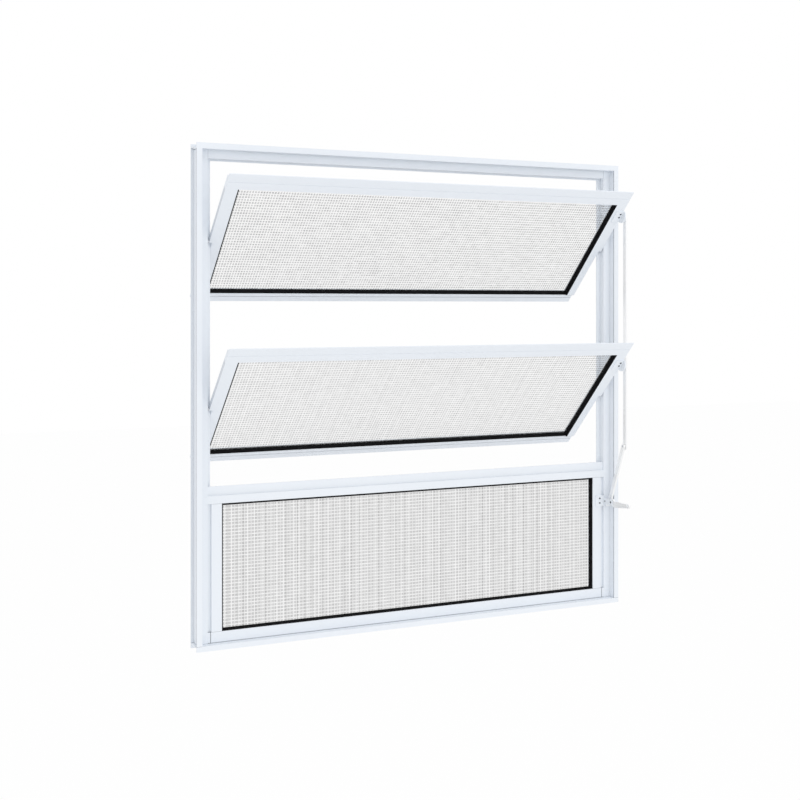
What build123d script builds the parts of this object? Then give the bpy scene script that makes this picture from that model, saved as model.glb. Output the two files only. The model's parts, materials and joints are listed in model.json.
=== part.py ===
"""Lever-operated pivot window: two sashes on side pivots over one fixed light.

X runs along the sill, Y from the room to the outside and Z upwards. The origin is at the middle of the
sill's lower edge, on the outside face of the frame.
"""
import os
from math import atan2, degrees, dist

from build123d import *

# Driving dimensions, millimetres and degrees.
# Overall frame
WIDTH = 600.0
HEIGHT = 600.0
DEPTH = 24.5                # room face to outside face
WALL = 1.4                  # wall of the frame's and the sashes' extrusions

# Frame extrusions
FIN = 7.0                   # front fin, seen width
CHANNEL = 3.5               # depth of the mortar channel in the outer edge
REBATE = 10.8               # room face to the recessed face
FACE = 17.0                 # outer edge to the opening's edge
STOP_DEPTH = 19.5           # room face to the weather stop
STOP = 5.5                  # how far the jambs' weather stops stand into the opening
HEAD_STOP = 2.2             # the same at the head
SILL_FIN = 6.2              # height of the sill's fins

# Transom
TRANSOM_Z = 171.7           # lower edge of the transom, the fixed light's top sight line
TRANSOM_FACE = 9.5          # height of its front face
UPSTAND = 11.0              # height of the stop above that face
UPSTAND_BACK = 2.6          # how far the stop lies behind the front face

# Fixed light
LIGHT_GAP = 4.5             # jamb to stile
LIGHT_STILE = 13.0          # seen width of its stiles
LIGHT_RAIL = 12.9           # height of its bottom rail
LIGHT_DEPTH = 12.0          # depth of its channels
LIGHT_GROOVE = 2.6          # depth of the groove between its stiles and the jambs

# Sashes
SASH_GAP = 2.5              # jamb to stile
SASH_STILE = 15.5           # seen width of the stiles
SASH_BODY = 8.0             # width of the glazing channel beside the glass opening
SASH_DEPTH = 11.0           # depth of the glazing channel
RETURN = 5.5                # depth of the turned edge on the upper flanges
FLANGE_GAP = 8.0            # pivot axis to the upper end of the lower flanges
TOP_RAIL = 10.4             # height of the top rail up to the groove
TOP_FLAP = 12.2             # height of the weather flap above it
GROOVE = 0.6                # depth of the grooves along the rails
BOTTOM_RAIL = 12.5
FOOT_GROOVE = 4.5           # lower sight line to the groove along the bottom rail
DRIP = 2.5                  # drip edge under the bottom rail's outer wall
HEAD_GAP = 8.5              # top of the frame to the upper flap, with the sash upright
FOOT_GAP = 5.4              # transom to the lower bottom rail, likewise
LAP = 5.3                   # lap of the lower flap over the upper bottom rail, likewise
PIVOT_RISE = 0.7            # pivot axis above the middle of the glass opening
PIVOT_DEPTH = 3.0           # sash face to the pivot axis
PIVOT_Y = 15.45             # room face of the frame to the pivot axis
OPEN_TILT = 45.4            # sash lean as drawn
PIVOT_D = 4.5
PIVOT_FIT = 0.05            # radial running clearance of the pivots
PIVOT_REACH = 3.0           # how far the pivots run into the jambs

# Glazing
GLASS = 3.0
GLASS_IN = 5.5              # frame face to glass
GLASS_EDGE = 4.5            # how far the glass runs behind the sight line
GASKET_EDGE = 3.5           # the same for the gaskets
GASKET_LIP = 3.0            # how far the gasket laps over the glass

# Rod, link and lever, in lanes side by side along X
LANE = 2.5                  # thickness of the rod, the link and the lever
LANE_GAP = 0.4
EAR_GAP = 0.5               # sash stile to the bracket ears
BRACKET_T = 1.5
PLATE_W = 12.0              # bracket plates, from their outer end to the ear
ROD_PIN_UP = 59.2           # pivot axis to the rod pin, along the sash
ROD_PIN_OUT = 1.2           # sash face to the rod pin, towards the room
ROD_W = 6.0
ROD_END = 5.0               # rod beyond its end pins
ROD_TAIL = 105.9            # lower rod pin to the link pin at the rod's foot
ROD_PLATE_RISE = 5.8        # rod pin to the middle of the rod brackets
ROD_EAR_R = 9.0             # their half-round ears
PIN_D = 3.0
PIN_FIT = 0.05
LEVER_OUT = 8.5             # room face of the frame to the lever's hub
LEVER_DROP = 32.3           # transom's lower edge to the hub
LEVER_PLATE_H = 14.7
EAR_H = 8.0                 # lever bracket's ear
CRANK_BACK = 11.52          # hub to crank pin
CRANK_DROP = 4.19
HUB_D = 9.0
HUB_PIN_D = 4.0
HANDLE = 39.6               # hub to the handle's tip
HANDLE_TOP = 1.9            # hub to the handle's upper edge
HANDLE_BELLY = 6.4          # hub to the lowest point of its lower edge
BELLY_OUT = 5.5             # hub to that point, along the handle
TIP_DROP = 3.4              # hub to the lower corner of the tip
TIP_ROUND = 4.0             # length of the rounded tip
RIB = 1.5                   # stiffening rib along the handle's upper edge
RIB_H = 3.9

# Places worked out from the sizes above
ROOM = -DEPTH                                # room face of the frame
RECESS = ROOM + REBATE
EDGE = WIDTH / 2 - FACE                      # half width of the frame's opening
LIGHT_EDGE = EDGE - LIGHT_GAP
LIGHT_SIGHT = LIGHT_EDGE - LIGHT_STILE       # half width of the fixed light's glass opening
LIGHT_BOTTOM = SILL_FIN + LIGHT_RAIL
TRANSOM_TOP = TRANSOM_Z + TRANSOM_FACE
JAMB_TOP = HEIGHT - FIN                      # the head and the sill run over the jambs' ends
SASH_HALF = EDGE - SASH_GAP
SASH_SIGHT = SASH_HALF - SASH_STILE          # half width of a sash's glass opening
SASH_RAILS = TOP_FLAP + TOP_RAIL + BOTTOM_RAIL
SIGHT_HEIGHT = (HEIGHT - HEAD_GAP - TRANSOM_TOP - FOOT_GAP + LAP) / 2 - SASH_RAILS
SASH_PITCH = SIGHT_HEIGHT + SASH_RAILS - LAP
SASH_TOP = SIGHT_HEIGHT / 2 - PIVOT_RISE     # upper sight line from the pivot axis
SASH_FOOT = SASH_TOP - SIGHT_HEIGHT          # lower sight line from the pivot axis
SASH_FACE = -PIVOT_DEPTH                     # sash face from the pivot axis
UPPER_PIVOT_Z = HEIGHT - HEAD_GAP - TOP_FLAP - TOP_RAIL - SASH_TOP
PIVOT_ZS = (UPPER_PIVOT_Z, UPPER_PIVOT_Z - SASH_PITCH)
FLAP_EDGE = SASH_TOP + TOP_RAIL + TOP_FLAP   # top of a sash from the pivot axis
EAR_X = SASH_HALF + EAR_GAP                  # inner face of the bracket ears
LEVER_X = EAR_X + BRACKET_T + LANE_GAP
LINK_X = LEVER_X + LANE + LANE_GAP
ROD_X = LINK_X + LANE + LANE_GAP
ROD_OUTSIDE = ROD_X + LANE
LEVER_Y = ROOM - LEVER_OUT
LEVER_Z = TRANSOM_Z - LEVER_DROP


def along_x(points, start, end):
    """A prism along X with the outline given as (y, z)."""
    return extrude(Plane.YZ.offset(start) * Polygon(*points, align=None), end - start, dir=(1, 0, 0))


def along_z(points, start, end):
    """A prism along Z with the outline given as (x, y)."""
    return extrude(Plane.XY.offset(start) * Polygon(*points, align=None), end - start, dir=(0, 0, 1))


def block(x0, x1, y0, y1, z0, z1):
    return Pos(x0, y0, z0) * Box(x1 - x0, y1 - y0, z1 - z0, align=(Align.MIN,) * 3)


def pin(x0, x1, y, z, diameter):
    """A round bar along X."""
    return Pos(x0, y, z) * Rot(0, 90, 0) * Cylinder(
        diameter / 2, x1 - x0, align=(Align.CENTER, Align.CENTER, Align.MIN)
    )


def flat_bar(x0, thickness, a, b, width):
    """A flat bar with round ends between two (y, z) points, lying across X."""
    (ya, za), (yb, zb) = a, b
    slot = SlotCenterToCenter(dist(a, b), width, rotation=degrees(atan2(zb - za, yb - ya)))
    return extrude(Plane.YZ.offset(x0) * Pos((ya + yb) / 2, (za + zb) / 2) * slot, thickness, dir=(1, 0, 0))


def mirrored(solid):
    return mirror(solid, about=Plane.YZ)


# Frame

def edge_profile():
    """Jamb and head extrusion as (distance in from the outer edge, y), and its closed chamber."""
    outline = [
        (0, ROOM), (FIN, ROOM), (FIN, RECESS), (FACE, RECESS), (FACE, 0), (0, 0),
        (0, -WALL), (CHANNEL, -WALL), (CHANNEL, RECESS), (FIN - WALL, RECESS),
        (FIN - WALL, ROOM + WALL), (0, ROOM + WALL),
    ]
    chamber = [
        (FACE - WALL, RECESS + WALL), (FACE - WALL, -WALL),
        (CHANNEL + WALL, -WALL), (CHANNEL + WALL, RECESS + WALL),
    ]
    return outline, chamber


def right_jamb():
    outline, chamber = ([(WIDTH / 2 - d, y) for d, y in part] for part in edge_profile())
    jamb = along_z(outline, SILL_FIN, JAMB_TOP) - along_z(chamber, SILL_FIN, JAMB_TOP)
    stop_y = ROOM + STOP_DEPTH
    jamb += block(EDGE - STOP, EDGE, stop_y, stop_y + WALL, TRANSOM_TOP, HEIGHT - FACE)
    for z in PIVOT_ZS:
        jamb -= pin(EDGE, EDGE + WALL, ROOM + PIVOT_Y, z, PIVOT_D + 2 * PIVOT_FIT)
    return jamb


def head_rail():
    outline, chamber = ([(y, HEIGHT - d) for d, y in part] for part in edge_profile())
    half = WIDTH / 2
    head = along_x(outline, -half, half) - along_x(chamber, -half, half)
    stop_y = ROOM + STOP_DEPTH
    head += block(STOP - EDGE, EDGE - STOP, stop_y, stop_y + WALL, HEIGHT - FACE - HEAD_STOP, HEIGHT - FACE)
    for x in (-half, EDGE):
        # Coped over the jambs
        head -= block(x, x + FACE, ROOM, 0, HEIGHT - FACE, JAMB_TOP)
    return head


def sill_rail():
    outline = [
        (ROOM, 0), (ROOM, SILL_FIN), (0, SILL_FIN), (0, 0), (-WALL, 0), (-WALL, SILL_FIN - WALL),
        (ROOM + WALL, SILL_FIN - WALL), (ROOM + WALL, 0),
    ]
    return along_x(outline, -WIDTH / 2, WIDTH / 2)


def transom():
    stop = RECESS + UPSTAND_BACK
    back = RECESS + LIGHT_DEPTH
    outline = [
        (RECESS, TRANSOM_Z), (RECESS, TRANSOM_TOP), (stop, TRANSOM_TOP), (stop, TRANSOM_TOP + UPSTAND),
        (stop + WALL, TRANSOM_TOP + UPSTAND), (stop + WALL, TRANSOM_TOP), (back, TRANSOM_TOP),
        (back, TRANSOM_Z), (back - WALL, TRANSOM_Z), (back - WALL, TRANSOM_TOP - WALL),
        (RECESS + WALL, TRANSOM_TOP - WALL), (RECESS + WALL, TRANSOM_Z),
    ]
    return along_x(outline, -EDGE, EDGE)


# Fixed light

def light_right_stile():
    web = LIGHT_EDGE - WALL
    back = RECESS + LIGHT_DEPTH
    groove = RECESS + LIGHT_GROOVE
    outline = [
        (LIGHT_SIGHT, RECESS), (LIGHT_EDGE, RECESS), (LIGHT_EDGE, groove), (EDGE, groove),
        (EDGE, groove + WALL), (LIGHT_EDGE, groove + WALL), (LIGHT_EDGE, back), (LIGHT_SIGHT, back),
        (LIGHT_SIGHT, back - WALL), (web, back - WALL), (web, RECESS + WALL), (LIGHT_SIGHT, RECESS + WALL),
    ]
    return along_z(outline, LIGHT_BOTTOM, TRANSOM_Z)


def light_bottom_rail():
    floor = SILL_FIN + WALL
    back = RECESS + LIGHT_DEPTH
    outline = [
        (RECESS, SILL_FIN), (RECESS, LIGHT_BOTTOM), (RECESS + WALL, LIGHT_BOTTOM),
        (RECESS + WALL, floor), (back - WALL, floor), (back - WALL, LIGHT_BOTTOM),
        (back, LIGHT_BOTTOM), (back, SILL_FIN),
    ]
    return along_x(outline, -EDGE, EDGE)


# Glazing

def pane(half, low, high, face):
    """Glass behind an opening of the given half width and height."""
    return block(
        -half - GLASS_EDGE, half + GLASS_EDGE, face + GLASS_IN, face + GLASS_IN + GLASS,
        low - GLASS_EDGE, high + GLASS_EDGE,
    )


def opening(half, low, high, y):
    return Pos(0, y, (low + high) / 2) * Rot(90, 0, 0) * Rectangle(2 * half, high - low)


def gasket(half, low, high, face, back):
    """Wedge gasket on the room side of the glass and a flat one behind it."""
    front = face + WALL
    glass = face + GLASS_IN
    edge = GASKET_EDGE
    wedge = block(-half - edge, half + edge, front, glass, low - edge, high + edge)
    wedge -= loft([
        opening(half, low, high, front),
        opening(half - GASKET_LIP, low + GASKET_LIP, high - GASKET_LIP, glass),
    ])
    seat = glass + GLASS
    strip = block(-half - edge, half + edge, seat, back, low - edge, high + edge)
    strip -= block(-half, half, seat, back, low, high)
    return Compound([wedge, strip])


# Sash, drawn upright about its pivot axis

def sash_right_stile():
    back = SASH_FACE + SASH_DEPTH
    body = SASH_SIGHT + SASH_BODY
    web = body - WALL
    outline = [
        (SASH_SIGHT, SASH_FACE), (body, SASH_FACE), (body, back), (SASH_SIGHT, back),
        (SASH_SIGHT, back - WALL), (web, back - WALL), (web, SASH_FACE + WALL),
        (SASH_SIGHT, SASH_FACE + WALL),
    ]
    stile = along_z(outline, SASH_FOOT, SASH_TOP)
    # Above the pivot a flange laps the jamb's stop on the room side, below it another laps the outer side.
    stile += block(body, SASH_HALF, SASH_FACE, SASH_FACE + WALL, 0, SASH_TOP)
    stile += block(SASH_HALF - WALL, SASH_HALF, SASH_FACE, SASH_FACE + RETURN, 0, SASH_TOP)
    stile += block(body, SASH_HALF, back - WALL, back, SASH_FOOT, -FLANGE_GAP)
    return stile - pin(web, SASH_HALF, 0, 0, PIVOT_D)


def rail_groove(z):
    """V-groove along the face of a rail."""
    points = [(SASH_FACE, z - GROOVE), (SASH_FACE, z + GROOVE), (SASH_FACE + GROOVE, z)]
    return along_x(points, -SASH_HALF, SASH_HALF)


def sash_top_rail():
    back = SASH_FACE + SASH_DEPTH
    top = SASH_TOP + TOP_RAIL
    body = SASH_SIGHT + SASH_BODY
    outline = [
        (SASH_FACE, SASH_TOP), (SASH_FACE, top), (back, top), (back, SASH_TOP), (back - WALL, SASH_TOP),
        (back - WALL, top - WALL), (SASH_FACE + WALL, top - WALL), (SASH_FACE + WALL, SASH_TOP),
    ]
    rail = along_x(outline, -body, body)
    rail += block(-SASH_HALF, SASH_HALF, SASH_FACE, SASH_FACE + WALL, SASH_TOP, FLAP_EDGE)
    for x in (-SASH_HALF, SASH_HALF - WALL):
        # The stiles' turned edges run on up the flap
        rail += block(x, x + WALL, SASH_FACE, SASH_FACE + RETURN, SASH_TOP, FLAP_EDGE - RETURN)
    return rail - rail_groove(top)


def sash_bottom_rail():
    back = SASH_FACE + SASH_DEPTH
    foot = SASH_FOOT - BOTTOM_RAIL
    body = SASH_SIGHT + SASH_BODY
    outline = [
        (SASH_FACE, SASH_FOOT), (SASH_FACE, foot), (back - WALL, foot), (back - WALL, foot - DRIP),
        (back, foot - DRIP), (back, SASH_FOOT), (back - WALL, SASH_FOOT), (back - WALL, foot + WALL),
        (SASH_FACE + WALL, foot + WALL), (SASH_FACE + WALL, SASH_FOOT),
    ]
    rail = along_x(outline, -body, body)
    rail += block(-SASH_HALF, SASH_HALF, back - WALL, back, foot - DRIP, SASH_FOOT)
    return rail - rail_groove(SASH_FOOT - FOOT_GROOVE)


def pivots():
    inner = SASH_SIGHT + SASH_BODY - WALL
    right = pin(inner, EDGE + PIVOT_REACH, 0, 0, PIVOT_D)
    return Compound([right, mirrored(right)])


def rod_bracket():
    """Angle bracket on the right stile, with a half-round ear and the rod's pin."""
    middle = ROD_PIN_UP + ROD_PLATE_RISE
    z0 = middle - ROD_EAR_R
    z1 = middle + ROD_EAR_R
    face = SASH_FACE - BRACKET_T
    pin_y = SASH_FACE - ROD_PIN_OUT
    ear_out = EAR_X + BRACKET_T
    plate = block(EAR_X - PLATE_W, ear_out, face, SASH_FACE, z0, z1)
    ear = pin(EAR_X, ear_out, SASH_FACE, middle, 2 * ROD_EAR_R)
    ear -= block(EAR_X, ear_out, SASH_FACE, SASH_FACE + ROD_EAR_R, z0, z1)
    shank = pin(EAR_X, ROD_OUTSIDE + LANE_GAP, pin_y, ROD_PIN_UP, PIN_D)
    collar = pin(EAR_X + BRACKET_T, ROD_X - LANE_GAP, pin_y, ROD_PIN_UP, 2 * PIN_D)
    return plate + ear + shank + collar


def place_sash(solid, pivot_z):
    return Pos(0, ROOM + PIVOT_Y, pivot_z) * Rot(OPEN_TILT, 0, 0) * solid


# Rod, link and lever

def rod_pin_at(pivot_z):
    spot = place_sash(Pos(0, SASH_FACE - ROD_PIN_OUT, ROD_PIN_UP) * Vertex(0, 0, 0), pivot_z)
    return spot.center().Y, spot.center().Z


def rod_foot():
    y, z = rod_pin_at(PIVOT_ZS[1])
    return y, z - ROD_TAIL


def crank_pin():
    return LEVER_Y + CRANK_BACK, LEVER_Z - CRANK_DROP


def push_rod():
    y, top = rod_pin_at(PIVOT_ZS[0])
    foot = rod_foot()[1]
    end = ROD_END - ROD_W / 2
    rod = flat_bar(ROD_X, LANE, (y, foot - end), (y, top + end), ROD_W)
    for z in (top, rod_pin_at(PIVOT_ZS[1])[1], foot):
        rod -= pin(ROD_X, ROD_OUTSIDE, y, z, PIN_D + 2 * PIN_FIT)
    return rod


def link_bar():
    bar = flat_bar(LINK_X, LANE, rod_foot(), crank_pin(), ROD_W)
    return bar + pin(LINK_X, ROD_OUTSIDE + LANE_GAP, *rod_foot(), PIN_D)


def handle_outline():
    """Handle with a straight upper edge, a rounded tip and a bellied lower edge, about the hub."""
    shoulder = HANDLE - TIP_ROUND
    top = (0, -shoulder, HANDLE_TOP)
    low = (0, -shoulder, -TIP_DROP)
    belly = (0, -BELLY_OUT, -HANDLE_BELLY)
    return make_face([
        Line((0, 0, HANDLE_TOP), top),
        ThreePointArc(top, (0, -HANDLE, (HANDLE_TOP - TIP_DROP) / 2), low),
        Spline(low, belly, tangents=[(0, 1, -(HANDLE_BELLY - TIP_DROP) / shoulder), (0, 1, 0)]),
        Line(belly, (0, 0, -HUB_D / 2)),
        Line((0, 0, -HUB_D / 2), (0, 0, HANDLE_TOP)),
    ])


def lever_handle():
    """Hub with a crank behind it and a ribbed handle in front."""
    handle = Pos(LEVER_X, LEVER_Y, LEVER_Z) * extrude(handle_outline(), LANE, dir=(1, 0, 0))
    top = LEVER_Z + HANDLE_TOP
    # The rib starts clear of the bracket's ear and ends where the tip is rounded.
    handle += block(
        LEVER_X - RIB, LEVER_X, LEVER_Y - HANDLE + TIP_ROUND, LEVER_Y - HUB_D / 2 - RIB, top - RIB_H, top
    )
    crank = flat_bar(LEVER_X, LANE, (LEVER_Y, LEVER_Z), crank_pin(), ROD_W)
    hub = pin(LEVER_X, LEVER_X + LANE, LEVER_Y, LEVER_Z, HUB_D)
    bore = pin(LEVER_X, LEVER_X + LANE, LEVER_Y, LEVER_Z, HUB_PIN_D + 2 * PIVOT_FIT)
    return handle + crank + hub - bore


def lever_bracket():
    """Angle bracket across the light's stile and the jamb, with the hub's pin on its ear."""
    z0 = LEVER_Z - LEVER_PLATE_H / 2
    z1 = LEVER_Z + LEVER_PLATE_H / 2
    plate = block(EAR_X - PLATE_W, EAR_X + BRACKET_T, RECESS - BRACKET_T, RECESS, z0, z1)
    ear = flat_bar(EAR_X, BRACKET_T, (LEVER_Y, LEVER_Z), (RECESS - EAR_H / 2, LEVER_Z), EAR_H)
    ear += block(
        EAR_X, EAR_X + BRACKET_T, RECESS - EAR_H / 2, RECESS, LEVER_Z - EAR_H / 2, LEVER_Z + EAR_H / 2
    )
    shank = pin(EAR_X, LEVER_X + LANE + LANE_GAP / 2, LEVER_Y, LEVER_Z, HUB_PIN_D)
    return plate + ear + shank


LIGHT = (LIGHT_SIGHT, LIGHT_BOTTOM, TRANSOM_Z, RECESS)
SASH = (SASH_SIGHT, SASH_FOOT, SASH_TOP, SASH_FACE)

nodes = {
    "right_jamb": right_jamb(),
    "left_jamb": mirrored(right_jamb()),
    "head_rail": head_rail(),
    "sill_rail": sill_rail(),
    "transom": transom(),
    "light_right_stile": light_right_stile(),
    "light_left_stile": mirrored(light_right_stile()),
    "light_bottom_rail": light_bottom_rail(),
    "light_glass": pane(*LIGHT),
    "light_gasket": gasket(*LIGHT, RECESS + LIGHT_DEPTH - WALL),
    "lever_bracket": lever_bracket(),
    "push_rod": push_rod(),
    "link_bar": link_bar(),
    "lever_handle": lever_handle(),
}
sash = {
    "right_stile": sash_right_stile(),
    "left_stile": mirrored(sash_right_stile()),
    "top_rail": sash_top_rail(),
    "bottom_rail": sash_bottom_rail(),
    "glass": pane(*SASH),
    "gasket": gasket(*SASH, SASH_FACE + SASH_DEPTH - WALL),
    "pivots": pivots(),
    "rod_bracket": rod_bracket(),
}
for name, pivot_z in zip(("upper", "lower"), PIVOT_ZS):
    for piece, solid in sash.items():
        nodes[f"{name}_{piece}"] = place_sash(solid, pivot_z)

os.makedirs("parts", exist_ok=True)
for name, solid in nodes.items():
    export_step(solid, f"parts/{name}.step")
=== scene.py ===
# %% [markdown]
# # A lever-operated pivot window
# Two glazed sashes turn on side pivots above a fixed light, and a push rod ties them to a lever.
# The solids come from the CAD model and stay as they are. This lesson dresses them: it gives each
# one its finish, rolls the pattern into the glass, and adds the screws and rivets.

# %% Load the CAD model
import json
import math

import bmesh
import bpy
from mathutils import Matrix, Vector


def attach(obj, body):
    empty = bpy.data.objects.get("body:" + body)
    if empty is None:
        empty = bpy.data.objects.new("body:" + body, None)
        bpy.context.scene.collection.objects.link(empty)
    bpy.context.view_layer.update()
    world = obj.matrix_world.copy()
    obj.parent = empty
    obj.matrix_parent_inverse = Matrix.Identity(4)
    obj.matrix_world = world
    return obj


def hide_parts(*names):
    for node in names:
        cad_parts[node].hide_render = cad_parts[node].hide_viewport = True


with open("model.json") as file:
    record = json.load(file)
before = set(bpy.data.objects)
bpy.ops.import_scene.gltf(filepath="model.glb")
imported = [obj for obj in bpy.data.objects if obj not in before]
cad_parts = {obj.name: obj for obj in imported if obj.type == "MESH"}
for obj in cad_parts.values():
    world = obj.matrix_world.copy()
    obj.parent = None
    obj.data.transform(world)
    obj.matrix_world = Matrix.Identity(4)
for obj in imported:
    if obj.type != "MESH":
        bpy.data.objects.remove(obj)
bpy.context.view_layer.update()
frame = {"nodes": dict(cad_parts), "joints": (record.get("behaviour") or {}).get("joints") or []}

MM = 0.001
scene = bpy.context.scene
scene.view_settings.view_transform = "Standard"

# %% [markdown]
# ## Where the sashes lie
# A sash is easiest to think of upright, as it lay on the bench: x along its rails, y through its
# thickness from the pivot axis, z up along its stiles. It hangs open at an angle, so one small
# function carries a bench point to its place in the window. The pivots come from the model's own
# joints, so the two can't drift apart.

# %% Sash places
OPEN_TILT = math.radians(45.4)
PIVOTS = {
    joint["child"]: Vector(joint["pos_m"])
    for joint in frame["joints"] if joint["child"].endswith("sash")
}
LEAN = Matrix.Rotation(OPEN_TILT, 3, "X")


def sash_place(body):
    """Carries a bench point of that sash, in mm, to the window's frame."""
    return lambda point: PIVOTS[body] + LEAN @ (Vector(point) * MM)


def frame_place(point):
    return Vector(point) * MM


print("pivot axes at", {body: tuple(round(c / MM, 2) for c in p) for body, p in PIVOTS.items()})

# %% [markdown]
# ## Camera
# The window is seen from the left of its middle and from the room side, level, with its verticals
# upright. A level camera with a little vertical shift keeps them so, as a view camera does with a
# falling front. Tilting the camera down instead would make the jambs lean together.

# %% Camera
IMAGE = 800
FOCAL_PIXELS = 1298.9
HORIZON_ABOVE_MIDDLE = 94.32

eye = bpy.data.objects.new("camera", bpy.data.cameras.new("camera"))
scene.collection.objects.link(eye)
eye.location = (-0.75365, -1.50019, 0.40771)
eye.rotation_euler = (math.radians(90), 0, math.radians(-25.985))
eye.data.lens = FOCAL_PIXELS / IMAGE * eye.data.sensor_width
eye.data.shift_y = -HORIZON_ABOVE_MIDDLE / IMAGE
eye.data.clip_start = 0.05
scene.camera = eye
print("lens", round(eye.data.lens, 2), "mm")

# %% [markdown]
# ## Wiring materials
# Every finish here is worked out by nodes. Wiring them by hand hides the sums, so a wire can be
# added, taken away and multiplied as a number can, and each sum becomes a Math node. Any other
# node comes from one method: its settings first, then the values or wires of its sockets.

# %% Wire class


class Wire:
    """One value on its way through a finish."""

    def __init__(self, tree, socket=None):
        self.tree = tree
        self.socket = socket

    def node(self, kind, settings=None, sockets=None, output=0):
        made = self.tree.nodes.new("ShaderNode" + kind)
        for name, value in (settings or {}).items():
            setattr(made, name, value)
        for name, value in (sockets or {}).items():
            if isinstance(value, Wire):
                self.tree.links.new(value.socket, made.inputs[name])
            else:
                made.inputs[name].default_value = value
        return Wire(self.tree, made.outputs[output] if made.outputs else None)

    def maths(self, operation, *values):
        return self.node("Math", {"operation": operation}, dict(enumerate(values)))

    def __add__(self, other):
        return self.maths("ADD", self, other)

    def __sub__(self, other):
        return self.maths("SUBTRACT", self, other)

    def __rsub__(self, other):
        return self.maths("SUBTRACT", other, self)

    def __mul__(self, other):
        return self.maths("MULTIPLY", self, other)

    def __truediv__(self, other):
        return self.maths("DIVIDE", self, other)

    __radd__ = __add__
    __rmul__ = __mul__

    def clamped(self):
        return self.node("Clamp", None, {"Value": self})

    def along(self, direction):
        """How far this point lies along a direction."""
        return self.node("VectorMath", {"operation": "DOT_PRODUCT"}, {0: self, 1: direction}, "Value")

    def blend(self, low, high):
        """A colour between two, this wire being the share of the second."""
        return self.node("Mix", {"data_type": "RGBA"}, {0: self, 6: low, 7: high}, output=2)


def finish(name):
    """A new material and a wire into its empty tree."""
    material = bpy.data.materials.new(name)
    material.use_nodes = True
    material.node_tree.nodes.clear()
    return material, Wire(material.node_tree)


def paint(red, green, blue):
    """A colour as it is seen on screen, 0 to 255, turned into the light it stands for."""
    shares = [c / 255 for c in (red, green, blue)]
    return (*[((c + 0.055) / 1.055) ** 2.4 if c > 0.04 else c / 12.92 for c in shares], 1.0)


print("wire sums:", [name for name in vars(Wire) if name.startswith("__")])

# %% [markdown]
# ## Studio
# The window hangs in a white room. The world is white to the eye and in reflections, and a little
# dimmer as a lamp, so that two soft lamps can give the faces their different tones. The floor lies
# well below the sill, where the sill's height in a wall would put it, and it catches a faint shadow.

# %% World and lamps
AMBIENT = 0.85
world = bpy.data.worlds.new("white_room")
scene.world = world
world.use_nodes = True
world.node_tree.nodes.clear()
room = Wire(world.node_tree)
seen = room.node("LightPath", None, None, "Is Camera Ray")
mirrored_in = room.node("LightPath", None, None, "Is Glossy Ray")
looked_through = room.node("LightPath", None, None, "Is Transmission Ray")
shown = (seen + mirrored_in + looked_through).clamped()
sky = room.node("Background", None, {"Color": (1, 1, 1, 1), "Strength": shown * (1 - AMBIENT) + AMBIENT})
room.node("OutputWorld", None, {"Surface": sky})


def soft_lamp(name, place, aim, size, power):
    lamp = bpy.data.objects.new(name, bpy.data.lights.new(name, "AREA"))
    scene.collection.objects.link(lamp)
    lamp.data.shape = "DISK"
    lamp.data.size = size
    lamp.data.energy = power
    lamp.location = place
    lamp.rotation_euler = (Vector(aim) - Vector(place)).to_track_quat("-Z", "Y").to_euler()
    return lamp


MIDDLE = (0, -0.02, 0.3)
soft_lamp("top_lamp", (0.5, -1.2, 2.4), MIDDLE, 1.6, 6)
soft_lamp("room_lamp", (-0.3, -2.6, 0.8), MIDDLE, 1.4, 5)

# %% Floor
FLOOR_DROP = 0.5
REACH = 8.0
SEEN_WHITE = 0.95
corners = [(-REACH, -REACH), (REACH, -REACH), (REACH, REACH), (-REACH, REACH)]
floor_mesh = bpy.data.meshes.new("floor")
floor_mesh.from_pydata([(x, y, -FLOOR_DROP) for x, y in corners], [], [(0, 1, 2, 3)])
floor = bpy.data.objects.new("floor", floor_mesh)
scene.collection.objects.link(floor)
floor_paint, wire = finish("floor_paint")
ground = wire.node("BsdfDiffuse", None, {"Color": paint(252, 252, 252)})
glow = wire.node("Emission", None, {"Color": (1, 1, 1, 1), "Strength": 1.0})
bright = wire.node("LightPath", None, None, "Is Camera Ray") * SEEN_WHITE
wire.node("OutputMaterial", None, {"Surface": wire.node("MixShader", None, {0: bright, 1: ground, 2: glow})})
floor_mesh.materials.append(floor_paint)
print("floor lies", FLOOR_DROP, "m below the sill")

# %% [markdown]
# ## White powder coat
# The frame and sashes are aluminium extrusions with a satin white powder coat, a shade towards
# blue. Baked powder is never quite smooth: it has a fine orange peel, and its gloss wanders a
# little. It is sprayed on with a charge that draws it to edges and leaves grooves thin. An
# occlusion node that looks at that piece alone finds the piece's own recesses, and a painted
# shade greys the coat there.
# Where two bars butt, a hairline of shade marks the joint, and a mask made from the distance to
# the joint's plane draws it on the bar's end. The same mask draws lines of painted shade in a
# crease, along a groove and on side faces that the light misses. Rod, link and handle have a
# thinner coat over bright metal, so they are the palest pieces.

# %% Powder coat finish
COAT = paint(243, 248, 254)
COAT_THIN = paint(239, 244, 251)
# grey of the painted shade that the occlusion node lays in a piece's own recesses
PAINTED_GROOVE_SHADE = paint(226, 231, 236)
GROOVE_REACH = 6.0 * MM
# the dark of the joint lines and of the lines of painted shade
JOINT_AND_PAINTED_SHADE = paint(118, 123, 131)
HAIRLINE = 0.45 * MM
UP = Vector((0, 0, 1))
ACROSS = Vector((1, 0, 0))
OUTWARD = Vector((0, 1, 0))


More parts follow.
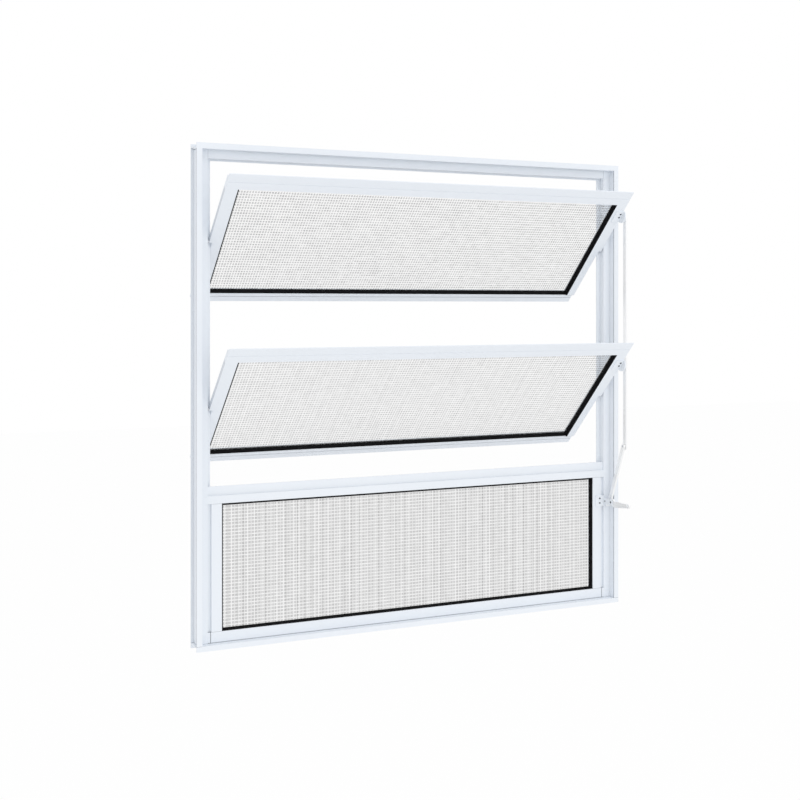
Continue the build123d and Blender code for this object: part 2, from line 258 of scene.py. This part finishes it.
def powder_coat(name, joints=(), under=None, coat=COAT, thin=COAT_THIN, metal=0.0):
    """joints are lines of joints and of painted shade, each (point, direction across, half width), drawn only
    below the height under, if given.
    """
    material, wire = finish(name)
    spot = wire.node("TexCoord", None, None, "Object")
    cloud = wire.node("TexNoise", None, {"Vector": spot, "Scale": 9.0, "Detail": 3.0})
    peel = wire.node("TexNoise", None, {"Vector": spot, "Scale": 1400.0, "Detail": 2.0})
    # painted shade: the piece's own recesses, found by occlusion, turn the coat grey
    openness = wire.node(
        "AmbientOcclusion", {"samples": 8, "only_local": True}, {"Distance": GROOVE_REACH}, "AO")
    colour = (1 - openness).clamped().blend(cloud.blend(thin, coat), PAINTED_GROOVE_SHADE)
    # each line darkens the coat: a real joint, or a line of painted shade
    for point, direction, half_width in joints:
        away = wire.maths("ABSOLUTE", spot.along(direction) - Vector(point).dot(direction))
        shade = (1 - away / half_width).clamped()
        if under:
            shade = shade * wire.maths("LESS_THAN", spot.along(UP), under * MM)
        colour = shade.blend(colour, JOINT_AND_PAINTED_SHADE)
    bump = wire.node("Bump", None, {"Strength": 0.12, "Distance": 0.05 * MM, "Height": peel})
    skin = wire.node("BsdfPrincipled", None, {
        "Base Color": colour, "Roughness": 0.34 + 0.1 * cloud, "Metallic": metal, "Normal": bump,
        "IOR": 1.45,
    })
    wire.node("OutputMaterial", None, {"Surface": skin})
    return material


def dress(node, material):
    """Gives a CAD node its finish."""
    mesh = frame["nodes"][node].data
    mesh.materials.clear()
    mesh.materials.append(material)


# %% Coat the frame and the fixed light
JAMB_TOP = 593.0
SILL_FIN = 6.2
EDGE = 283.0
LIGHT_BOTTOM = 19.1
TRANSOM_Z = 171.7
# a painted shade on the jambs' side faces, in a band two millimetres deep behind the front face
FIN_FRONT_SHADE = -23.5
FIN_SHADE_WIDTH = 1.0 * MM
RAIL_END = 279.6
RAIL_END_LINE = 0.8 * MM
# the joint of the light's bottom rail on the sill, widened into a painted shade in the crease there
SILL_JOINT_AND_SHADE = 1.2 * MM
SIDES = (-1, 1)
plain_coat = powder_coat("white_coat")
# the jambs carry a joint line at the sill and a band of painted shade just behind the fin's front face
jamb_coat = powder_coat("white_coat_jambs", [
    (frame_place((0, 0, SILL_FIN)), UP, HAIRLINE), (frame_place((0, FIN_FRONT_SHADE, 0)), OUTWARD, FIN_SHADE_WIDTH),
])
head_coat = powder_coat(
    "white_coat_head", [(frame_place((side * EDGE, 0, 0)), ACROSS, HAIRLINE) for side in SIDES], JAMB_TOP)
light_coat = powder_coat(
    "white_coat_light", [(frame_place((0, 0, z)), UP, HAIRLINE) for z in (LIGHT_BOTTOM, TRANSOM_Z)])
# the light's bottom rail: joint and painted shade at the sill's crease, joint lines where it meets the jambs
foot_coat = powder_coat(
    "white_coat_foot", [(frame_place((0, 0, SILL_FIN)), UP, SILL_JOINT_AND_SHADE)]
    + [(frame_place((side * RAIL_END, 0, 0)), ACROSS, RAIL_END_LINE) for side in SIDES])
rod_coat = powder_coat(
    "white_coat_rod", coat=paint(254, 254, 254), thin=paint(251, 252, 253), metal=0.6)
COATED = {
    plain_coat: ("sill_rail", "transom", "lever_bracket"),
    jamb_coat: ("left_jamb", "right_jamb"),
    head_coat: ("head_rail",),
    light_coat: ("light_left_stile", "light_right_stile"),
    foot_coat: ("light_bottom_rail",),
    rod_coat: ("push_rod", "link_bar", "lever_handle"),
}
for coat, nodes in COATED.items():
    for node in nodes:
        dress(node, coat)
print("coated", sum(len(nodes) for nodes in COATED.values()), "pieces of the frame and the works")

# %% Coat the sashes
SASH_TOP = 84.3
SASH_FOOT = -85.7
# a hairline of painted shade along the groove in the bottom rail's face
FOOT_GROOVE = SASH_FOOT - 4.5
# a painted shade on the outer side face of each stile
EDGE_SHADE = 281.25
EDGE_LINE = 1.0 * MM
ALONG_SASH = LEAN @ UP
for body in PIVOTS:
    name = body.removesuffix("_sash")
    place = sash_place(body)
    # the stiles carry their joint on the bottom rail and the painted shade of their outer side faces
    stile_coat = powder_coat(
        f"white_coat_{name}_stiles", [(place((0, 0, SASH_FOOT)), ALONG_SASH, HAIRLINE)]
        + [(place((side * EDGE_SHADE, 0, 0)), ACROSS, EDGE_LINE) for side in SIDES])
    # the rails carry the painted shade of the groove in the bottom rail's face
    rail_coat = powder_coat(
        f"white_coat_{name}_rails", [(place((0, 0, FOOT_GROOVE)), ALONG_SASH, HAIRLINE)])
    for hand in ("left", "right"):
        dress(f"{name}_{hand}_stile", stile_coat)
    for piece in ("top_rail", "bottom_rail"):
        dress(f"{name}_{piece}", rail_coat)
    dress(f"{name}_rod_bracket", plain_coat)
print("coated the sashes")

# %% [markdown]
# ## Rubber and steel
# The gaskets are black rubber, matt, with a faint bloom. The pivots are zinc-plated steel, which
# is turned, so its gloss runs in fine rings; a stretched noise along the axis gives that.

# %% Rubber and steel finishes
def black_rubber(name):
    material, wire = finish(name)
    spot = wire.node("TexCoord", None, None, "Object")
    bloom = wire.node("TexNoise", None, {"Vector": spot, "Scale": 60.0, "Detail": 4.0})
    skin = wire.node("TexNoise", None, {"Vector": spot, "Scale": 2200.0, "Detail": 1.0})
    bump = wire.node("Bump", None, {"Strength": 0.2, "Distance": 0.05 * MM, "Height": skin})
    rubber = wire.node("BsdfPrincipled", None, {
        "Base Color": bloom.blend(paint(6, 6, 8), paint(18, 18, 20)),
        "Roughness": 0.7 + 0.15 * bloom, "Specular IOR Level": 0.12, "Normal": bump,
    })
    wire.node("OutputMaterial", None, {"Surface": rubber})
    return material


def zinc_steel(name, bright, dull):
    material, wire = finish(name)
    spot = wire.node("TexCoord", None, None, "Object")
    drawn = wire.node("VectorMath", {"operation": "MULTIPLY"}, {0: spot, 1: (2500.0, 120.0, 120.0)})
    rings = wire.node("TexNoise", None, {"Vector": drawn, "Scale": 1.0, "Detail": 2.0})
    steel = wire.node("BsdfPrincipled", None, {
        "Base Color": rings.blend(dull, bright), "Metallic": 1.0, "Roughness": 0.32 + 0.2 * rings,
    })
    wire.node("OutputMaterial", None, {"Surface": steel})
    return material


rubber = black_rubber("black_rubber")
pivot_steel = zinc_steel("zinc_steel", paint(226, 229, 233), paint(190, 193, 198))
for name in ("light_gasket", "upper_gasket", "lower_gasket"):
    dress(name, rubber)
for name in ("upper_pivots", "lower_pivots"):
    dress(name, pivot_steel)
print("gaskets and pivots done")

# %% [markdown]
# ## Seals along the stiles
# Along the stiles the sash gasket's lip shows as a thin black bead between paint and glass. Below
# the pivot the stile has no room-side flange, and a white pile strip on its side closes the gap to
# the jamb's stop. Both are too fine for the CAD model, so they are swept here: a half-round outline
# carried along the stile.

# %% Seals
SASH_SIGHT = 265.0
SASH_SIDE = 273.0
SASH_FACE = -3.0
LIP = 1.8
PILE_REACH = 4.0
PILE_THICK = 1.4
HALF_ROUND = [math.pi * k / 8 for k in range(9)]


def stile_seal(name, body, side, edge, reach, thick, low, high, material):
    """A half-round strip on an edge of a stile, level with the sash's face and standing out by reach."""
    place = sash_place(body)
    outline = [
        (edge + reach * math.sin(a), SASH_FACE + thick / 2 * (1 - math.cos(a))) for a in HALF_ROUND]
    points = [place((side * x, y, z)) for z in (low, high) for x, y in outline]
    count = len(outline)
    faces = [(k, k + 1, count + k + 1, count + k) for k in range(count - 1)]
    faces += [(count - 1, 0, count, 2 * count - 1), tuple(range(count)), tuple(range(count, 2 * count))]
    build = bmesh.new()
    verts = [build.verts.new(p) for p in points]
    for face in faces:
        build.faces.new([verts[i] for i in face])
    bmesh.ops.recalc_face_normals(build, faces=build.faces)
    mesh = bpy.data.meshes.new(name)
    build.to_mesh(mesh)
    build.free()
    mesh.materials.append(material)
    strip = bpy.data.objects.new(name, mesh)
    scene.collection.objects.link(strip)
    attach(strip, body)
    return strip


seals = []
for body in PIVOTS:
    for hand, side in (("left", -1), ("right", 1)):
        name = f"{body.removesuffix('_sash')}_{hand}"
        seals.append(stile_seal(
            f"{name}_gasket_lip", body, side, SASH_SIGHT, -LIP, LIP, SASH_FOOT, SASH_TOP, rubber))
        seals.append(stile_seal(
            f"{name}_pile_strip", body, side, SASH_SIDE, PILE_REACH, PILE_THICK, SASH_FOOT, 0.0,
            plain_coat))
print(len(seals), "seals")

# %% [markdown]
# ## Figured glass
# The panes are figured glass. A roller presses a fine linen into the room side, so that light comes
# in and looks don't: rows of shallow pits with short ribs lying across one another. The pits are
# too regular for a texture trick to hold up close, so each pane is a new mesh with a real pit in
# every cell, and it stands for the plain CAD pane.

# %% Figured panes
LIGHT_CELL = (4.2, 4.12)
SASH_CELL = (3.5, 4.15)
PIT = 0.35
GLASS = 3.0
GLASS_IN = 5.5
GLASS_EDGE = 4.5


def half_cells(low, high, cell):
    """Lines at the ridges and the pits' middles, with the pane's edges at the ends, and which are pits."""
    first, last = math.ceil(low / cell * 2), math.floor(high / cell * 2)
    lines = [low] + [k * cell / 2 for k in range(first, last + 1)] + [high]
    pits = [False] + [k % 2 == 1 for k in range(first, last + 1)] + [False]
    return lines, pits


def figured_pane(name, body, cell, half, low, high, face, place):
    """A pane behind an opening of that half width and height, pitted on the room side."""
    xs, pit_x = half_cells(-half - GLASS_EDGE, half + GLASS_EDGE, cell[0])
    zs, pit_z = half_cells(low - GLASS_EDGE, high + GLASS_EDGE, cell[1])
    points = [
        place((x, face + GLASS_IN + (PIT if px and pz else 0), z))
        for z, pz in zip(zs, pit_z) for x, px in zip(xs, pit_x)
    ]
    wide, tall = len(xs), len(zs)
    faces = [
        (r * wide + c, r * wide + c + 1, (r + 1) * wide + c + 1, (r + 1) * wide + c)
        for r in range(tall - 1) for c in range(wide - 1)
    ]
    figured = len(faces)
    rim = (
        list(range(wide)) + [r * wide + wide - 1 for r in range(1, tall)]
        + [(tall - 1) * wide + c for c in range(wide - 2, -1, -1)]
        + [r * wide for r in range(tall - 2, 0, -1)]
    )
    back = face + GLASS_IN + GLASS
    start = len(points)
    points += [place((xs[i % wide], back, zs[i // wide])) for i in rim]
    points.append(place((0, back, (low + high) / 2)))
    for k in range(len(rim)):
        n = (k + 1) % len(rim)
        faces.append((rim[n], rim[k], start + k, start + n))
        faces.append((start + n, start + k, len(points) - 1))
    mesh = bpy.data.meshes.new(name)
    mesh.from_pydata(points, [], faces)
    for face_number in range(figured, len(faces)):
        mesh.polygons[face_number].material_index = 1
    pane = bpy.data.objects.new(name, mesh)
    scene.collection.objects.link(pane)
    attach(pane, body)
    print(name, len(mesh.polygons), "faces")
    return pane


LIGHT_SIGHT = 265.5
RECESS = -13.7
panes = {
    "light": figured_pane(
        "light_figured_glass", "frame", LIGHT_CELL, LIGHT_SIGHT, LIGHT_BOTTOM, TRANSOM_Z, RECESS, frame_place)
}
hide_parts("light_glass")
for body in PIVOTS:
    name = body.removesuffix("_sash")
    panes[name] = figured_pane(
        f"{name}_figured_glass", body, SASH_CELL, SASH_SIGHT, SASH_FOOT, SASH_TOP, SASH_FACE,
        sash_place(body))
    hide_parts(f"{name}_glass")

# %% [markdown]
# ## Glass finish
# Clear glass hides nothing, and a rib or pit bends the view away, so it takes a little more of the
# light. That is a share of cover, not a colour: the finish counts cells and ribs along the pane, as
# the roller does, and each one covers more or less of what lies behind. White noise gives each
# short rib a depth of its own, and a pane may mix its pits with upright threads, dark and pale, that
# keep an even pitch so that they don't clump into streaks.

# %% Glass finish
RIB_LONG = 8.0
RIB_HIGH = 1.9
CORD_LONG = 9.0
CORD_WIDE = 1.75
RIDGE = 0.2
RIDGE_SLOPE = 0.25
DASH_LONG = 6.0
DARK_THREADS = 12.6
PALE_THREADS = 9.4
THREAD = 1.2
GLASS_GREY = paint(150, 150, 150)
GLASS_PALE = paint(190, 190, 190)
LIGHT_WEAVE = (0.8, 0.35)
SASH_WEAVES = {"upper_sash": (0.64, 1.0), "lower_sash": (0.6, 0.7)}


def figured_glass(name, cell, along, start, cover, dots):
    """cover is how much the pattern hides; dots is the share of pits in it, the rest being threads."""
    material, wire = finish(name)
    spot = wire.node("TexCoord", None, None, "Object")
    east = spot.along(ACROSS)
    north = spot.along(along) - start.dot(along)

    def pit(distance, pitch):
        """0 on the thin ridge, 1 over the flat of a pit."""
        share = wire.maths("FRACT", distance / (pitch * MM))
        return ((1 - wire.maths("ABSOLUTE", share * 2 - 1) - RIDGE) / RIDGE_SLOPE).clamped()

    def ribs(run, rise, length, width):
        """A depth from 0 to 1 for each short rib, the rows being shifted against one another."""
        row = wire.maths("FLOOR", rise / (width * MM))
        shift = wire.node("TexWhiteNoise", {"noise_dimensions": "1D"}, {"W": row}, "Value")
        place_in_row = wire.maths("FLOOR", run / (length * MM) + shift)
        rib = wire.node("CombineXYZ", None, {0: row, 1: place_in_row})
        return wire.node("TexWhiteNoise", {"noise_dimensions": "2D"}, {"Vector": rib}, "Value")

    def threads(pitch):
        """1 on upright threads that wander a little from an even pitch."""
        share = east / (pitch * MM)
        number = wire.maths("FLOOR", share)
        wander = wire.node("TexWhiteNoise", {"noise_dimensions": "1D"}, {"W": number + pitch}, "Value")
        away = wire.maths("ABSOLUTE", share - number - (0.2 + 0.6 * wander))
        return (1.5 - away * (2 * pitch / THREAD)).clamped()

    weft = ribs(east, north, RIB_LONG, RIB_HIGH)
    warp = ribs(north, east, CORD_LONG, CORD_WIDE)
    pits = pit(east, cell[0]) * pit(north, cell[1])
    pitted = 0.08 * weft + pits * (0.62 + 0.3 * weft + 0.1 * warp)
    dash = ribs(east, north, DASH_LONG, cell[1])
    dark, pale = threads(DARK_THREADS), threads(PALE_THREADS)
    woven = 0.64 + 0.36 * dark - 0.5 * pale - (1 - pit(north, cell[1])) * (0.15 + 0.4 * dash)
    linen = pitted * dots + woven * (1 - dots)
    glass = wire.node("BsdfPrincipled", None, {
        "Base Color": linen.clamped().blend(GLASS_PALE, GLASS_GREY), "Roughness": 0.22, "IOR": 1.5,
        "Alpha": (linen * cover).clamped(),
    })
    wire.node("OutputMaterial", None, {"Surface": glass})
    return material


def plain_glass(name):
    """The flat back and the cut edges, with a faint waviness from the rolling."""
    material, wire = finish(name)
    spot = wire.node("TexCoord", None, None, "Object")
    wave = wire.node("TexNoise", None, {"Vector": spot, "Scale": 25.0, "Detail": 1.0})
    glass = wire.node("BsdfPrincipled", None, {
        "Base Color": wave.blend(GLASS_GREY, GLASS_PALE), "Roughness": 0.12, "IOR": 1.5,
        "Alpha": 0.04 + 0.05 * wave,
    })
    wire.node("OutputMaterial", None, {"Surface": glass})
    return material


flat_glass = plain_glass("flat_glass")
panes["light"].data.materials.append(
    figured_glass("figured_glass_light", LIGHT_CELL, UP, Vector((0, 0, 0)), *LIGHT_WEAVE))
for body, pivot in PIVOTS.items():
    name = body.removesuffix("_sash")
    panes[name].data.materials.append(
        figured_glass(f"figured_glass_{name}", SASH_CELL, ALONG_SASH, pivot, *SASH_WEAVES[body]))
for pane in panes.values():
    pane.data.materials.append(flat_glass)
print("glazed", len(panes), "panes")

# %% [markdown]
# ## Screws and rivets
# Small cross-head screws hold the brackets and peened rivets end the pins. Each head is turned
# like a lathe would: a profile spun round the axis. A cross is sunk into a screw's crown by
# lowering the points that fall inside its two slots.

# %% Turned heads
def turned_head(name, body, centre, facing, diameter, height, cross=0.0):
    """A domed head on the face at centre, looking along facing; cross is the width of its slots."""
    spokes, rings = 32, 7
    radius = diameter / 2
    points, faces = [], []
    for k in range(rings):
        share = k / (rings - 1)
        for s in range(spokes):
            turn = 2 * math.pi * s / spokes
            r = radius * share
            x, y = r * math.cos(turn), r * math.sin(turn)
            z = height * (1 - 0.75 * share ** 2.6)
            in_cross = min(abs(x), abs(y)) < cross / 2 and r < radius * 0.62
            points.append((x, y, z - (height * 0.55 if in_cross else 0)))
    base = len(points)
    turns = [2 * math.pi * s / spokes for s in range(spokes)]
    points += [(radius * math.cos(turn), radius * math.sin(turn), 0) for turn in turns]
    for k in range(rings):
        inner, outer = k * spokes, (k + 1) * spokes
        for s in range(spokes):
            n = (s + 1) % spokes
            faces.append((inner + s, outer + s, outer + n, inner + n))
    faces.append(tuple(reversed(range(base, base + spokes))))
    build = bmesh.new()
    verts = [build.verts.new(p) for p in points]
    for face in faces:
        build.faces.new([verts[i] for i in face])
    bmesh.ops.remove_doubles(build, verts=build.verts, dist=1e-5)
    mesh = bpy.data.meshes.new(name)
    build.to_mesh(mesh)
    build.free()
    turn = Vector(facing).to_track_quat("Z", "Y").to_matrix().to_4x4()
    mesh.transform(Matrix.Translation(centre) @ turn @ Matrix.Scale(MM, 4))
    head = bpy.data.objects.new(name, mesh)
    scene.collection.objects.link(head)
    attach(head, body)
    return head


# %% Bracket screws and rivets
screw_steel = zinc_steel("screw_steel", paint(120, 123, 128), paint(62, 64, 68))
OUT_OF_SASH = LEAN @ Vector((0, -1, 0))
BRACKET_FACE = -4.5
heads = []
for body in PIVOTS:
    name = body.removesuffix("_sash")
    for k, z in enumerate((64.0, 69.5)):
        heads.append(turned_head(
            f"{name}_bracket_screw_{k + 1}", body, sash_place(body)((277.2, BRACKET_FACE, z)),
            OUT_OF_SASH, 2.6, 0.9, 0.7))
for k, z in enumerate((142.73, 136.41)):
    heads.append(turned_head(
        f"lever_bracket_screw_{k + 1}", "frame", frame_place((275.75, -15.2, z)), (0, -1, 0), 2.3, 0.9, 0.6))
heads.append(turned_head("ear_rivet", "frame", frame_place((281, -19.8, 139.3)), (-1, 0, 0), 1.9, 0.5))
heads.append(turned_head("hub_rivet", "frame", frame_place((281, -33.0, 139.4)), (-1, 0, 0), 2.8, 0.7))
for head in heads:
    head.data.materials.append(screw_steel)
link_rivet = turned_head("link_rivet", "link", frame_place((285.8, -54.151, 217.477)), (-1, 0, 0), 3.0, 0.5)
link_rivet.data.materials.append(pivot_steel)
heads.append(link_rivet)
print(len(heads), "screws and rivets")

# %% [markdown]
